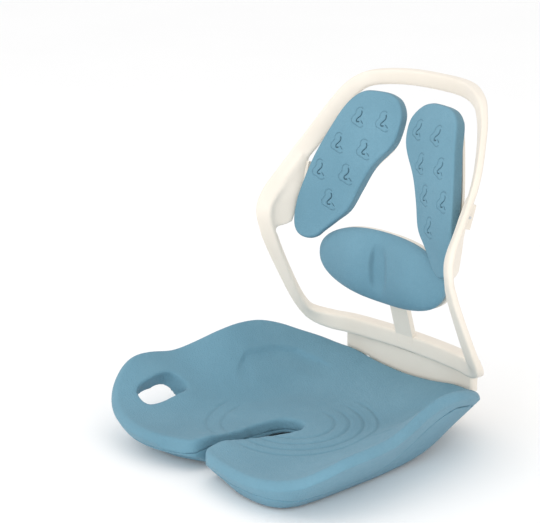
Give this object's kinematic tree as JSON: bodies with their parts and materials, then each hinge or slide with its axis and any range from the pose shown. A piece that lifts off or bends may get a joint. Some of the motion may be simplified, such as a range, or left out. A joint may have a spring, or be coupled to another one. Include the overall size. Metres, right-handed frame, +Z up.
{
  "type": "back brace",
  "caption": "Contoured foam posture seat with a front slit and hand hole, carrying a rocking loop frame with hinged foam wing pads and a tilting lumbar pad.",
  "frame": {"origin": "on the floor below the middle of the object's bounding box", "axes": "+X to the sitter's left, -Y to the front, +Z up"},
  "size_m": [0.4392, 0.4504, 0.4608],
  "materials": {
    "foam": "soft grained foam skin, matte",
    "seat_shell": "matte, fine grain",
    "ivory": "satin",
    "rubber": "matte",
    "steel": "satin"
  },
  "bodies": {
    "seat": {"seat_cushion": "foam", "seat_shell": "seat_shell", "seat_feet": "rubber", "base_block": "ivory", "base_feet": "rubber", "base_screws": "steel", "recline_pin": "steel", "recline_bumpers": "rubber", "rear_cover": "ivory", "cover_screws": "steel"},
    "backrest": {"back_frame": "ivory", "recline_bushes": "rubber", "lumbar_stalk": "ivory", "stalk_screws": "steel", "lumbar_bush": "rubber", "left_wing_bracket": "ivory", "right_wing_bracket": "ivory", "left_bracket_screws": "steel", "right_bracket_screws": "steel", "left_wing_pin": "steel", "right_wing_pin": "steel"},
    "lumbar": {"lumbar_shell": "ivory", "lumbar_pin": "steel", "lumbar_pad": "foam", "lumbar_screws": "steel"},
    "left_wing": {"left_wing_plate": "ivory", "left_wing_bush": "rubber", "left_wing_pad": "foam", "left_wing_screws": "steel"},
    "right_wing": {"right_wing_plate": "ivory", "right_wing_bush": "rubber", "right_wing_pad": "foam", "right_wing_screws": "steel"}
  },
  "joints": [
    {"name": "recline", "type": "hinge", "parent": "seat", "child": "backrest", "pos_m": [0, 0.19, 0.068], "axis": [1, 0, 0], "range_deg": [-5, 0], "stiffness_Nm_per_rad": 300},
    {"name": "lumbar_tilt", "type": "hinge", "parent": "backrest", "child": "lumbar", "pos_m": [0, 0.14, 0.186], "axis": [1, 0, 0], "range_deg": [-10, 10], "stiffness_Nm_per_rad": 12},
    {"name": "left_wing_flex", "type": "hinge", "parent": "backrest", "child": "left_wing", "pos_m": [-0.13232, 0.13051, 0.31032], "axis": [-0.0487, 0.2849, 0.9573], "range_deg": [-6, 6], "stiffness_Nm_per_rad": 8},
    {"name": "right_wing_flex", "type": "hinge", "parent": "backrest", "child": "right_wing", "pos_m": [0.13232, 0.13051, 0.31032], "axis": [0.0487, 0.2849, 0.9573], "range_deg": [-6, 6], "stiffness_Nm_per_rad": 8}
  ]
}
